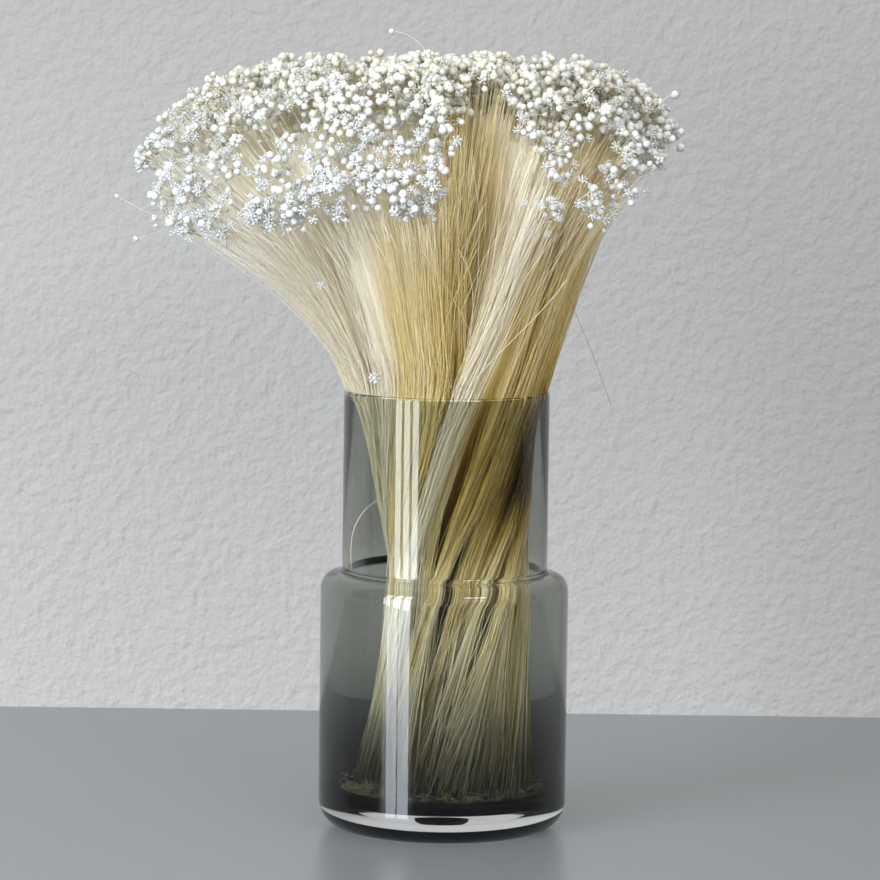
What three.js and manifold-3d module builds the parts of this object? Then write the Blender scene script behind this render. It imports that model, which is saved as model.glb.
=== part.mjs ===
// A bunch of dried marcela in a stepped, smoke-grey glass vase.
// Millimetres, +Z up. The origin is the middle of the vase's foot, on the surface that it stands on.
// The front is -Y. A bearing is an angle round the vase in degrees, 0 at the front and 90 at the right (+X).
//
// The bunch is one twisted sheaf. Its stems stand on the vase's floor, pass each other at a waist inside the
// neck, lean on the rim and fan out to the flower heads. sheafPoint() gives the way that every stem takes.
// Six clumps lie side by side in the sheaf, like the slices of a cake. Each is one grown-together spray:
// a grooved core of packed stems, long stems round it, and branches that spread from its top to the heads.
import * as THREE from "three";
import { mergeVertices } from "three/addons/utils/BufferGeometryUtils.js";
import Module from "manifold-3d";

const wasm = await Module();
wasm.setup();

// Vase
const VASE_HEIGHT = 195;
const BODY_RADIUS = 55;
const NECK_RADIUS = 45.5;
const BODY_WALL = 3;
const FOOT_WALL = 4.6; // just over the floor: the body's wall is thinner above
const NECK_WALL = 2.4;
const FLOOR_THICKNESS = 15;
const FOOT_ROUND = 13;
const FLOOR_ROUND = 7;
const NECK_FOOT = 117; // height at which the neck's straight wall begins
const SHOULDER_ROUND = 7.5; // outside, where the body turns in
const NECK_ROUND = 2.5; // outside, where the neck turns up
const VASE_SIDES = 40;
const ARC_STEPS = 3;
const LIP_STEPS = 4;

// Sheaf
const GAP = 0.3; // between pieces that touch
const FOOT_REACH = 44;
const WAIST_Z = 112;
const WAIST_REACH = 32;
const SWAY = 5; // how far the waist stands to the right of the vase's axis
const RIM_RISE = 0.55; // a stem's rise is 0 at its foot, this at the rim and 1 at the crown
const CROWN_Z = 345; // the crown's level over the vase's axis
const NECK_TWIST = 1.5; // how much more the sheaf twists in the neck than straight stems would
const RIM_LEAN = 24; // degrees that the outermost stems lean out at the rim
const CROWN_LEAN = 60; // and at the crown
const DROOP_POWER = 5; // how flat the crown is before it falls off

// How far the crown reaches and how low it hangs, at the bearings 0, 22.5, 45 and so on round the vase
const REACH = [90, 90, 92, 95, 98, 102, 104, 105, 106, 108, 114, 126, 138, 126, 108, 96];
const DROOP = [48, 50, 52, 40, 26, 28, 34, 36, 36, 36, 34, 34, 40, 62, 56, 50];

// Clumps, with the bearings of their sides at the crown. In the vase each takes an even share.
const CLUMPS = [
  { name: "left", from: -118, to: -57 },
  { name: "front_left", from: -57, to: -1 },
  { name: "front_right", from: 28, to: 61 },
  { name: "right", from: 61, to: 120 },
  { name: "back_right", from: 120, to: 181 },
  { name: "back_left", from: 181, to: 242 },
];
const FIRST_SIDE = -117; // bearing of the first clump's side in the vase
const INNER_RING = 0.16; // a clump's inner edge
const SIDE_MARGIN = 1.1; // from a clump's edge to the plane between it and the next

// Core of a clump: [rise, share of the clump's width that it fills]
const CORE = [
  [0.03, 0],
  [0.05, 0.72],
  [0.14, 0.84],
  [0.23, 0.96],
  [0.32, 1],
  [0.41, 0.98],
  [0.5, 0.94],
  [0.6, 0.88],
  [0.71, 0.8],
  [0.81, 0.64],
  [0.9, 0],
];
const CORE_SIDES = 20;
const GROOVE = 0.13; // depth of the grooves between locks of stems, as a share of the core
const CORNER = 0.45; // how round a clump's corners are, as a share of half its width

// Loose stems round a core, which leave it where the sheaf is packed: [rise, share of the clump's width]
const STEM_RADIUS = 0.75;
const CUT_ENDS = 9; // round a clump, from the core down to the vase's floor
const CUT_END_WAY = [
  [0.24, 0.8],
  [0, 0.98],
];
const LONG_STEMS = 6; // round a clump, from the core up to the crown
const LONG_STEM_WAY = [
  [0.46, 0.8],
  [0.6, 0.98],
  [0.75, 1],
  [0.89, 1],
  [1, 1],
];

// Branches from inside the core out to the heads
const BRANCHES = 216; // round the whole crown
const BRANCH_RISE = 0.74; // where they start
const BRANCH_DRAW = 0.5; // how far out they start, as a share of where they end
const LENGTH_SPREAD = 0.04; // range of rise over which the middle heads stand
const RAGGED = 0.17; // how much lower the shortest outer ones stand
const RAGGED_POWER = 1.6; // how rare the short ones are

// Flower heads
const HEAD_RADIUS = 5.2;
const HEAD_SPREAD = 1.6; // range of radii
const STAR_SHARE = 0.3;
const STAR_REACH = 1.5; // a star's points, as a share of a button's radius
const PAIR_SHARE = 0.3; // branches that carry a second head, where there is room
const PAIR_REACH = 1.1; // how far off it stands, as a share of the first one's radius
const PAIR_DROP = 0.5; // how far below the first it stands, as a share of how far beside it

// Stray stems that reach past the crown: [bearing, ring, rise] of their heads
const STRAYS = [
  [-80, 1.15, 1],
  [-94, 1.1, 0.96],
  [-30, 0.25, 1.02],
  [84, 1.08, 0.99],
  [150, 1.06, 1],
  [205, 1.05, 1],
];

const radians = THREE.MathUtils.degToRad;
const degrees = THREE.MathUtils.radToDeg;
const { lerp } = THREE.MathUtils;
const FOOT_Z = FLOOR_THICKNESS + GAP + STEM_RADIUS / 2;
const RIM_REACH = NECK_RADIUS - NECK_WALL - GAP - 2 * STEM_RADIUS;

// The same random numbers each time
let seed = 20241;
function random() {
  seed = (seed + 0x6d2b79f5) | 0;
  let t = Math.imul(seed ^ (seed >>> 15), 1 | seed);
  t = (t + Math.imul(t ^ (t >>> 7), 61 | t)) ^ t;
  return ((t ^ (t >>> 14)) >>> 0) / 4294967296;
}
const spread = (range) => (random() - 0.5) * range;

// A value listed round the vase, blended smoothly at any bearing
function around(values, bearing) {
  const step = 360 / values.length;
  const turns = bearing / step;
  const before = Math.floor(turns);
  const at = (i) => values[((i % values.length) + values.length) % values.length];
  const blend = (1 - Math.cos(Math.PI * (turns - before))) / 2;
  return lerp(at(before), at(before + 1), blend);
}

// Where a stem is. ring is 0 on the sheaf's axis and 1 on its outside, bearing is where it stands at the crown.
function sheafPoint(ring, bearing, rise) {
  const rimOffset = Math.sqrt(RIM_REACH ** 2 - WAIST_REACH ** 2);
  const footOffset = Math.sqrt(FOOT_REACH ** 2 - WAIST_REACH ** 2);
  const rimTurn = NECK_TWIST * Math.atan2(rimOffset, WAIST_REACH);
  const place = (reach, turn, sway, z) => {
    const angle = radians(bearing) + turn;
    return new THREE.Vector3(sway + reach * Math.sin(angle), -reach * Math.cos(angle), z);
  };
  if (rise <= RIM_RISE) {
    // a straight stem of a twisted sheaf goes this far sideways from the waist
    const up = rise / RIM_RISE;
    const z = lerp(FOOT_Z, VASE_HEIGHT, up);
    const above = (rimOffset * (z - WAIST_Z)) / (VASE_HEIGHT - WAIST_Z);
    const below = (footOffset * (z - WAIST_Z)) / (WAIST_Z - FOOT_Z);
    const offset = z > WAIST_Z ? above : below;
    const turn = (z > WAIST_Z ? NECK_TWIST : 1) * Math.atan2(offset, WAIST_REACH) - rimTurn;
    return place(ring * Math.hypot(WAIST_REACH, offset), turn, SWAY * Math.sin(Math.PI * up), z);
  }
  // from the rim to the crown it bends outwards
  const up = (rise - RIM_RISE) / (1 - RIM_RISE);
  const rim = new THREE.Vector2(ring * RIM_REACH, VASE_HEIGHT);
  const fall = around(DROOP, bearing) * ring ** DROOP_POWER;
  const crown = new THREE.Vector2(ring * around(REACH, bearing), CROWN_Z - fall);
  const third = rim.distanceTo(crown) / 3;
  const leaning = (lean) => {
    const angle = radians(lean * ring);
    return new THREE.Vector2(Math.sin(angle), Math.cos(angle)).multiplyScalar(third);
  };
  const handles = [rim.clone().add(leaning(RIM_LEAN)), crown.clone().sub(leaning(CROWN_LEAN))];
  const point = new THREE.CubicBezierCurve(rim, ...handles, crown).getPoint(up);
  return place(point.x, 0, 0, point.y);
}

// The bearings of a clump's sides
function clumpSides(clump, rise) {
  const opened = 1 - Math.min(1, (1 - rise) / (1 - RIM_RISE)) ** 3;
  const share = 360 / CLUMPS.length;
  const packed = FIRST_SIDE + CLUMPS.indexOf(clump) * share;
  return [lerp(packed, clump.from, opened), lerp(packed + share, clump.to, opened)];
}

// A place in a clump is given by two numbers that run from -1 to 1 over it: across it, from one side to the
// other, and along it, from its inner edge to its outer one. The second goes with the ring.
const ringAt = (along) => lerp(INNER_RING, 1, (along + 1) / 2);
const alongAt = (ring) => (2 * (ring - INNER_RING)) / (1 - INNER_RING) - 1;

// The ring and bearing of a place in a clump
function inClump(clump, across, along, rise) {
  const [from, to] = clumpSides(clump, rise);
  const ring = ringAt(along);
  const margin = degrees(Math.asin(SIDE_MARGIN / (ring * WAIST_REACH)));
  return [ring, (from + to) / 2 + across * ((to - from) / 2 - margin)];
}
const clumpPoint = (clump, across, along, rise) => sheafPoint(...inClump(clump, across, along, rise), rise);

// A clump's outline: evenly spaced points of a square with round corners, from -1 to 1 both ways
function clumpOutline(count) {
  const centre = 1 - CORNER;
  const shape = new THREE.Shape();
  shape.absarc(centre, centre, CORNER, 0, Math.PI / 2);
  shape.absarc(-centre, centre, CORNER, Math.PI / 2, Math.PI);
  shape.absarc(-centre, -centre, CORNER, Math.PI, 1.5 * Math.PI);
  shape.absarc(centre, -centre, CORNER, 1.5 * Math.PI, 2 * Math.PI);
  shape.closePath();
  return shape.getSpacedPoints(count).slice(0, count);
}

// The grooved core of a clump: a turned blank, whose every point is moved to its place in the sheaf
function clumpCore(clump) {
  const profile = CORE.map(([rise, share]) => new THREE.Vector2(share, rise));
  const blank = new THREE.LatheGeometry(profile, CORE_SIDES);
  const outline = clumpOutline(CORE_SIDES);
  const place = blank.getAttribute("position");
  const uv = blank.getAttribute("uv");
  for (let i = 0; i < place.count; i++) {
    const side = Math.round(uv.getX(i) * CORE_SIDES) % CORE_SIDES;
    const share = Math.hypot(place.getX(i), place.getZ(i)) * (side % 2 ? 1 - GROOVE : 1);
    const { x, y } = outline[side];
    place.setXYZ(i, ...clumpPoint(clump, x * share, y * share, place.getY(i)));
  }
  return blank;
}

// A three-sided stem through some points
function stemThrough(points) {
  const side = new THREE.Shape();
  for (const corner of [0, 1, 2]) {
    const angle = (corner * 2 * Math.PI) / 3;
    const at = [STEM_RADIUS * Math.cos(angle), STEM_RADIUS * Math.sin(angle)];
    corner ? side.lineTo(...at) : side.moveTo(...at);
  }
  const extrudePath = new THREE.CatmullRomCurve3(points);
  return new THREE.ExtrudeGeometry(side, { steps: points.length - 1, extrudePath, bevelEnabled: false });
}

// A flower head: a round button, or an open star with points
function flowerHead(place, radius) {
  const star = random() < STAR_SHARE;
  const head = star
    ? new THREE.TetrahedronGeometry(radius * STAR_REACH)
    : new THREE.OctahedronGeometry(radius);
  head.rotateX(spread(2 * Math.PI));
  head.rotateZ(spread(2 * Math.PI));
  return head.translate(...place);
}

// The heads at a branch's tip, and how far they reach from it: a pair or one alone
const ALONE = HEAD_RADIUS * STAR_REACH;
const PAIRED = HEAD_RADIUS * (STAR_REACH + PAIR_REACH);
function headsAt(tip, paired) {
  const radius = HEAD_RADIUS + spread(HEAD_SPREAD);
  const heads = [flowerHead(tip, radius)];
  if (paired) {
    const angle = spread(2 * Math.PI);
    const aside = new THREE.Vector3(Math.cos(angle), Math.sin(angle), -PAIR_DROP);
    aside.setLength(radius * PAIR_REACH);
    heads.push(flowerHead(tip.clone().add(aside), radius));
  }
  return heads;
}

// How far across a clump a tip may stand, so that its heads keep clear of the next clump's
function roomAcross(clump, along, rise, heads) {
  const [from, to] = clumpSides(clump, rise);
  const edge = clumpPoint(clump, 1, along, rise);
  const turn = Math.asin(Math.min(1, heads / Math.hypot(edge.x, edge.y)));
  const margin = Math.asin(SIDE_MARGIN / (ringAt(along) * WAIST_REACH));
  const half = radians(to - from) / 2;
  return (half - turn) / (half - margin);
}

// The loose stems round a clump's core
function looseStems(clump) {
  const alongWay = (way, across, along) =>
    way.map(([rise, share]) => clumpPoint(clump, across * share, along * share, rise));
  const parts = clumpOutline(CUT_ENDS).map(({ x, y }) => stemThrough(alongWay(CUT_END_WAY, x, y)));
  for (const { x, y } of clumpOutline(LONG_STEMS)) {
    const room = roomAcross(clump, y, 1, ALONE);
    if (room < 0) continue;
    const points = alongWay(LONG_STEM_WAY, THREE.MathUtils.clamp(x, -room, room), y);
    parts.push(stemThrough(points), ...headsAt(points.at(-1), false));
  }
  return parts;
}

// One branch, from inside the core out to its heads
function branch(clump, across, along, rise) {
  const paired = random() < PAIR_SHARE && Math.abs(across) < roomAcross(clump, along, rise, PAIRED);
  const room = roomAcross(clump, along, rise, ALONE);
  if (room < 0) return [];
  const inside = THREE.MathUtils.clamp(across, -room, room);
  const root = clumpPoint(clump, inside * BRANCH_DRAW, Math.min(along, 1) * BRANCH_DRAW, BRANCH_RISE);
  const tip = clumpPoint(clump, inside, along, rise);
  return [stemThrough([root, tip]), ...headsAt(tip, paired)];
}

// Where a bearing stands across a clump at the crown: from -1 to 1 if it is in it
function acrossAt(clump, bearing) {
  const off = THREE.MathUtils.euclideanModulo(bearing - (clump.from + clump.to) / 2 + 180, 360) - 180;
  return off / ((clump.to - clump.from) / 2);
}

// The branches of a clump: of an even scatter over the crown, and of the strays, what stands over it
function branches(clump) {
  const parts = [];
  const goldenAngle = 180 * (3 - Math.sqrt(5));
  for (let i = 0; i < BRANCHES; i++) {
    const ring = Math.sqrt((i + 0.5) / BRANCHES);
    const across = acrossAt(clump, i * goldenAngle);
    const rise = 1 + spread(LENGTH_SPREAD) - RAGGED * ring ** 2 * random() ** RAGGED_POWER;
    if (Math.abs(across) > 1 || ring < INNER_RING) continue;
    parts.push(...branch(clump, across, alongAt(ring), rise));
  }
  for (const [bearing, ring, rise] of STRAYS) {
    const across = acrossAt(clump, bearing);
    if (Math.abs(across) < 1) parts.push(...branch(clump, across, alongAt(ring), rise));
  }
  return parts;
}

// A three.js geometry as a solid, for joining
function solid(geometry) {
  const bare = geometry.index ? geometry.toNonIndexed() : geometry.clone();
  bare.deleteAttribute("normal");
  bare.deleteAttribute("uv");
  const merged = mergeVertices(bare, 1e-4);
  const corners = merged.index.array;
  const kept = [];
  for (let i = 0; i < corners.length; i += 3) {
    const [a, b, c] = corners.slice(i, i + 3);
    if (a !== b && b !== c && c !== a) kept.push(a, b, c);
  }
  const vertProperties = merged.getAttribute("position").array;
  const made = (order) =>
    new wasm.Manifold(new wasm.Mesh({ numProp: 3, vertProperties, triVerts: new Uint32Array(order) }));
  const body = made(kept);
  return body.volume() > 0 ? body : made(kept.reverse());
}

// Several geometries joined as one
function joined(geometries) {
  const mesh = geometries.map(solid).reduce((whole, next) => whole.add(next)).getMesh();
  const geometry = new THREE.BufferGeometry();
  geometry.setAttribute("position", new THREE.BufferAttribute(mesh.vertProperties, mesh.numProp));
  geometry.setIndex(new THREE.BufferAttribute(mesh.triVerts, 1));
  geometry.computeVertexNormals();
  return geometry;
}

// Points of an arc between two directions, in degrees, about a centre
function arc(centre, radius, from, to, steps = ARC_STEPS) {
  const points = [];
  for (let i = 0; i <= steps; i++) {
    const angle = radians(lerp(from, to, i / steps));
    points.push([centre[0] + radius * Math.cos(angle), centre[1] + radius * Math.sin(angle)]);
  }
  return points;
}

// The shoulder's line, from the body's wall over a round and a hollow to the neck's wall
function shoulder(body, neck, neckFoot, bodyRound, neckRound) {
  // where the two arcs meet, both run at this angle from upright
  const inward = (body - neck - bodyRound - neckRound) / (bodyRound + neckRound);
  const meet = degrees(Math.asin(Math.min(1, Math.max(-1, -inward))));
  const drop = (bodyRound + neckRound) * Math.cos(radians(meet));
  return [
    ...arc([body - bodyRound, neckFoot - drop], bodyRound, 0, 90 - meet),
    ...arc([neck + neckRound, neckFoot], neckRound, 270 - meet, 180),
  ];
}

function makeVase() {
  const lip = NECK_WALL / 2;
  const bodyInside = BODY_RADIUS - BODY_WALL;
  const footInside = BODY_RADIUS - FOOT_WALL;
  const neckInside = NECK_RADIUS - NECK_WALL;
  const profile = [
    [0, 0],
    ...arc([BODY_RADIUS - FOOT_ROUND, FOOT_ROUND], FOOT_ROUND, -90, 0),
    ...shoulder(BODY_RADIUS, NECK_RADIUS, NECK_FOOT, SHOULDER_ROUND, NECK_ROUND),
    ...arc([NECK_RADIUS - lip, VASE_HEIGHT - lip], lip, 0, 180, LIP_STEPS),
    ...shoulder(
      bodyInside,
      neckInside,
      NECK_FOOT - 1,
      SHOULDER_ROUND - BODY_WALL,
      NECK_ROUND + NECK_WALL,
    ).reverse(),
    ...arc([footInside - FLOOR_ROUND, FLOOR_THICKNESS + FLOOR_ROUND], FLOOR_ROUND, 0, -90),
    [0, FLOOR_THICKNESS],
  ];
  return new THREE.LatheGeometry(
    profile.map(([r, z]) => new THREE.Vector2(r, z)),
    VASE_SIDES,
  ).rotateX(Math.PI / 2);
}

const glass = { color: 0x6b6d66, roughness: 0.05, transparent: true, opacity: 0.5 };
const straw = { color: 0xe3d7ae, roughness: 0.7 };

const marcela = new THREE.Group();
function put(name, geometry, finish) {
  const mesh = new THREE.Mesh(geometry, new THREE.MeshStandardMaterial(finish));
  mesh.name = name;
  marcela.add(mesh);
}
put("vase", joined([makeVase()]), glass);
for (const clump of CLUMPS) {
  put(`spray_${clump.name}`, joined([clumpCore(clump), ...looseStems(clump), ...branches(clump)]), straw);
}

export default marcela;
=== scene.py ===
# A bunch of dried marcela in a stepped, smoke-grey glass vase.
#
# Metres, +Z up, with the middle of the vase's foot at the origin and the front towards -Y. A bearing is an
# angle round the vase in degrees, 0 at the front and 90 at the right (+X). The stems follow the same sheaf
# as the solids do: they stand on the vase's floor, pass each other at a waist inside the neck, lean on the
# rim and fan out to the crown of flower heads.
import math

import bmesh
import bpy
import numpy as np
from mathutils import Matrix, Vector


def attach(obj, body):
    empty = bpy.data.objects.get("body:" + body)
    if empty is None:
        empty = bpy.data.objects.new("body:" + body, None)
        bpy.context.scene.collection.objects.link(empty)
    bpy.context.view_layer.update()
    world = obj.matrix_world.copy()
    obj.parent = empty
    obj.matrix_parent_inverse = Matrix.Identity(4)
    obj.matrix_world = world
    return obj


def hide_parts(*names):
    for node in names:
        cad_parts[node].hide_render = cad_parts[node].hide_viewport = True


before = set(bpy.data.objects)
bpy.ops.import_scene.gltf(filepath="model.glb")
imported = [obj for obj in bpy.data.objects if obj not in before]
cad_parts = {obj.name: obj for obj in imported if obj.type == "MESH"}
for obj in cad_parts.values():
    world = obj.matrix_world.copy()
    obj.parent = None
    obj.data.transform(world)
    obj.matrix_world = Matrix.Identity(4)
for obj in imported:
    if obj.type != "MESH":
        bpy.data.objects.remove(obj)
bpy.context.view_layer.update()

MM = 0.001

# Vase, in millimetres
VASE_HEIGHT = 195
BODY_RADIUS = 55
NECK_RADIUS = 45.5
BODY_WALL = 3
NECK_WALL = 2.4
FLOOR_THICKNESS = 15
FOOT_ROUND = 13
FLOOR_ROUND = 7
NECK_FOOT = 117
SHOULDER_ROUND = 7.5
NECK_ROUND = 2.5

# Sheaf, in millimetres and degrees
FOOT_REACH = 44
FOOT_Z = FLOOR_THICKNESS + 0.7
WAIST_Z = 112
WAIST_REACH = 32
SWAY = 5
RIM_RISE = 0.55
RIM_REACH = 41.3
CROWN_Z = 343
NECK_TWIST = 1.5
RIM_LEAN = 24
CROWN_LEAN = 60
DROOP_POWER = 5
REACH = [90, 90, 92, 95, 98, 102, 104, 105, 106, 108, 114, 126, 138, 126, 108, 96]
DROOP = [48, 50, 52, 40, 26, 28, 34, 36, 36, 36, 34, 34, 40, 62, 56, 50]

# The sprays, with the bearings of their sides at the crown. In the vase each takes an even share.
SPRAYS = {
    "left": (-118, -57),
    "front_left": (-57, -1),
    "front_right": (28, 61),
    "right": (61, 120),
    "back_right": (120, 181),
    "back_left": (181, 242),
}
FIRST_SIDE = -117

rng = np.random.default_rng(53)


def share(value, start, end):
    """How far a value has come on the way from start to end, as a share from 0 to 1."""
    return np.clip((value - start) / (end - start), 0, 1)


def around(values, bearing):
    """A value listed round the vase, blended smoothly at any bearing."""
    step = 360 / len(values)
    turns = np.asarray(bearing) / step
    before = np.floor(turns).astype(int)
    blend = (1 - np.cos(np.pi * (turns - before))) / 2
    table = np.asarray(values, float)
    return table[before % len(table)] * (1 - blend) + table[(before + 1) % len(table)] * blend


def sheaf_point(ring, bearing, rise):
    """A stem's place in metres: ring is 0 on the axis and 1 outside, rise 0 at its foot and 1 at the top."""
    ring, bearing, rise = np.broadcast_arrays(ring, bearing, rise)
    rim_offset = math.sqrt(RIM_REACH**2 - WAIST_REACH**2)
    foot_offset = math.sqrt(FOOT_REACH**2 - WAIST_REACH**2)
    rim_turn = math.atan2(rim_offset, WAIST_REACH)
    up = np.clip(rise / RIM_RISE, 0, 1)
    z = FOOT_Z + (VASE_HEIGHT - FOOT_Z) * up
    above = rim_offset * (z - WAIST_Z) / (VASE_HEIGHT - WAIST_Z)
    below = foot_offset * (z - WAIST_Z) / (WAIST_Z - FOOT_Z)
    offset = np.where(z > WAIST_Z, above, below)
    turn = np.arctan2(offset, WAIST_REACH)
    turn = np.where(z > WAIST_Z, NECK_TWIST * (turn - rim_turn), turn - NECK_TWIST * rim_turn)
    reach = ring * np.hypot(WAIST_REACH, offset)
    sway = SWAY * np.sin(np.pi * up)

    # from the rim to the crown it bends outwards
    t = np.clip((rise - RIM_RISE) / (1 - RIM_RISE), 0, None)
    rim = np.stack([ring * RIM_REACH, np.full_like(z, VASE_HEIGHT)])
    fall = around(DROOP, bearing) * ring**DROOP_POWER
    crown = np.stack([ring * around(REACH, bearing), CROWN_Z - fall])
    third = np.hypot(*(crown - rim)) / 3

    def leaning(lean):
        angle = np.radians(lean * ring)
        return np.stack([np.sin(angle), np.cos(angle)]) * third

    a, d = rim, crown
    b, c = rim + leaning(RIM_LEAN), crown - leaning(CROWN_LEAN)
    bent = (1 - t) ** 3 * a + 3 * (1 - t) ** 2 * t * b + 3 * (1 - t) * t**2 * c + t**3 * d
    top = rise > RIM_RISE
    reach = np.where(top, bent[0], reach)
    z = np.where(top, bent[1], z)
    angle = np.radians(bearing) + np.where(top, 0, turn)
    place = np.stack([sway + reach * np.sin(angle), -reach * np.cos(angle), z], axis=-1)
    return place * MM


def spray_bearing(spray, across, rise):
    """The bearing of a place in a spray: across runs from -1 to 1 between its sides."""
    opened = 1 - (1 - share(rise, RIM_RISE, 1)) ** 3
    even = 360 / len(SPRAYS)
    packed = FIRST_SIDE + list(SPRAYS).index(spray) * even
    low, high = SPRAYS[spray]
    low = packed + (low - packed) * opened
    high = packed + even + (high - packed - even) * opened
    return (low + high) / 2 + across * (high - low) / 2


# Camera, at the photo's distance, height and tilt
CAMERA_PLACE = (-0.0028, -2.093, 0.376)
CAMERA_DOWN = 5.54
CAMERA_ROLL = 0.73
LENS = 194.5


def make_camera():
    data = bpy.data.cameras.new("camera")
    data.lens = LENS
    data.sensor_width = 36
    camera = bpy.data.objects.new("camera", data)
    tilt = Matrix.Rotation(math.radians(90 - CAMERA_DOWN), 4, "X")
    roll = Matrix.Rotation(math.radians(CAMERA_ROLL), 4, "Z")
    camera.matrix_world = Matrix.Translation(CAMERA_PLACE) @ tilt @ roll
    bpy.context.scene.collection.objects.link(camera)
    bpy.context.scene.camera = camera


def new_object(name, mesh, material=None):
    piece = bpy.data.objects.new(name, mesh)
    bpy.context.scene.collection.objects.link(piece)
    if material:
        mesh.materials.clear()
        mesh.materials.append(material)
    return piece


def mesh_from(bm, name, smooth=True):
    mesh = bpy.data.meshes.new(name)
    bm.to_mesh(mesh)
    bm.free()
    mesh.polygons.foreach_set("use_smooth", [smooth] * len(mesh.polygons))
    return mesh


class Finish:
    """A material with its nodes: new nodes are added with add(), and joined with link()."""

    def __init__(self, name):
        self.material = bpy.data.materials.new(name)
        self.material.use_nodes = True
        self.tree = self.material.node_tree
        self.shader = self.tree.nodes["Principled BSDF"]
        self.output = self.tree.nodes["Material Output"]

    def add(self, kind, **settings):
        node = self.tree.nodes.new(kind)
        for key, value in settings.items():
            setattr(node, key, value)
        return node

    def link(self, a, b):
        self.tree.links.new(a, b)

    def place(self):
        """The place on the piece, in metres."""
        return self.add("ShaderNodeTexCoord").outputs["Object"]

    def height(self):
        """How high a place is, in metres."""
        parts = self.add("ShaderNodeSeparateXYZ")
        self.link(self.place(), parts.inputs["Vector"])
        return parts.outputs["Z"]

    def number(self, name):
        """A number that was kept on the mesh."""
        return self.add("ShaderNodeAttribute", attribute_name=name).outputs["Fac"]

    def noise(self, scale, detail, place=None):
        texture = self.add("ShaderNodeTexNoise")
        texture.inputs["Scale"].default_value = scale
        texture.inputs["Detail"].default_value = detail
        self.link(self.place() if place is None else place, texture.inputs["Vector"])
        return texture.outputs["Fac"]

    def ramp(self, value, stops):
        ramp = self.add("ShaderNodeValToRGB")
        elements = ramp.color_ramp.elements
        while len(elements) > 1:
            elements.remove(elements[-1])
        elements[0].position, elements[0].color = stops[0][0], (*stops[0][1], 1)
        for position, colour in stops[1:]:
            elements.new(position).color = (*colour, 1)
        self.link(value, ramp.inputs["Fac"])
        return ramp.outputs["Color"]

    def remap(self, value, low, high, to_low=0.0, to_high=1.0):
        node = self.add("ShaderNodeMapRange")
        for name, number in zip(("From Min", "From Max", "To Min", "To Max"), (low, high, to_low, to_high)):
            node.inputs[name].default_value = number
        self.link(value, node.inputs["Value"])
        return node.outputs["Result"]

    def times(self, a, b):
        node = self.add("ShaderNodeMix", data_type="RGBA", blend_type="MULTIPLY")
        node.inputs["Factor"].default_value = 1
        self.link(a, node.inputs["A"])
        self.link(b, node.inputs["B"])
        return node.outputs["Result"]

    def plus(self, a, b):
        node = self.add("ShaderNodeMath", operation="ADD")
        self.link(a, node.inputs[0])
        self.link(b, node.inputs[1])
        return node.outputs["Value"]

    def bump(self, height, distance, strength=1.0):
        """Raises the surface, by a distance in metres where the height is 1."""
        bump = self.add("ShaderNodeBump")
        bump.inputs["Distance"].default_value = distance
        bump.inputs["Strength"].default_value = strength
        self.link(height, bump.inputs["Height"])
        self.link(bump.outputs["Normal"], self.shader.inputs["Normal"])

    def mix_in(self, amount, other):
        """The surface turns into another shader where the amount is 1."""
        mix = self.add("ShaderNodeMixShader")
        self.link(amount, mix.inputs["Fac"])
        self.link(self.shader.outputs["BSDF"], mix.inputs[1])
        self.link(other.outputs["BSDF"], mix.inputs[2])
        self.link(mix.outputs["Shader"], self.output.inputs["Surface"])

    def set(self, **values):
        for key, value in values.items():
            self.shader.inputs[key.replace("_", " ")].default_value = value


def dress(piece, node):
    """Puts a finished piece in the place of one of the solids."""
    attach(piece, "root")
    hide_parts(node)


# Vase
VASE_STEPS = 128
ROUND_STEPS = 8
FOOT_WALL = 4.6
SHOULDER_WALL = 1.7
HOLLOW_HEIGHT = 2.5
HOLLOW_RADIUS = 40
UNDERSIDE = 43
LINING_DEPTH = 0.4
LINING = 0.5
LINING_TOP = VASE_HEIGHT - 1.2
FLOOR_DROP = 1.2
GLEAM_RADIUS = 27
GLEAM_Z = 7
SHADE_DISC_RADIUS = 8
DISC_HEIGHT = 0.3
DISC_CROWN = 0.05
SMOKE = [
    (0, (0.05, 0.053, 0.05)),
    (11, (0.08, 0.085, 0.08)),
    (17, (0.165, 0.173, 0.16)),
    (38, (0.245, 0.256, 0.238)),
    (60, (0.43, 0.445, 0.415)),
    (82, (0.55, 0.565, 0.53)),
    (106, (0.57, 0.585, 0.55)),
    (113, (0.68, 0.695, 0.66)),
    (120, (0.68, 0.695, 0.66)),
    (128, (0.57, 0.585, 0.55)),
]
# the smoke over the floor, darkened almost to black as painted shade of the thick base
SMOKE_AND_SHADE_FLOOR = (0.02, 0.022, 0.02)
SHADE_SHARE = 0.42
UNDERSIDE_SHADE = 0.02


def arc(centre, radius, low, high, steps=ROUND_STEPS):
    """Points of an arc between two directions, in degrees, about a centre."""
    points = []
    for i in range(steps + 1):
        angle = math.radians(low + (high - low) * i / steps)
        points.append((centre[0] + radius * math.cos(angle), centre[1] + radius * math.sin(angle)))
    return points


def shoulder(body, neck, neck_foot, body_round, neck_round):
    """The shoulder's line, from the body's wall over a round and a hollow to the neck's wall."""
    inward = (body - neck - body_round - neck_round) / (body_round + neck_round)
    meet = math.degrees(math.asin(-inward))
    drop = (body_round + neck_round) * math.cos(math.radians(meet))
    return [
        *arc((body - body_round, neck_foot - drop), body_round, 0, 90 - meet),
        *arc((neck + neck_round, neck_foot), neck_round, 270 - meet, 180),
    ]


def glass_finish(name, index):
    """Glass that lets light through without a shadow. An index of 1 bends no light, so it's only a tint."""
    finish = Finish(name)
    finish.set(Base_Color=(1, 1, 1, 1), Roughness=0.0, IOR=index, Transmission_Weight=1.0)
    finish.clear = finish.add("ShaderNodeBsdfTransparent")
    finish.mix_in(finish.add("ShaderNodeLightPath").outputs["Is Shadow Ray"], finish.clear)
    return finish


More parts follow.
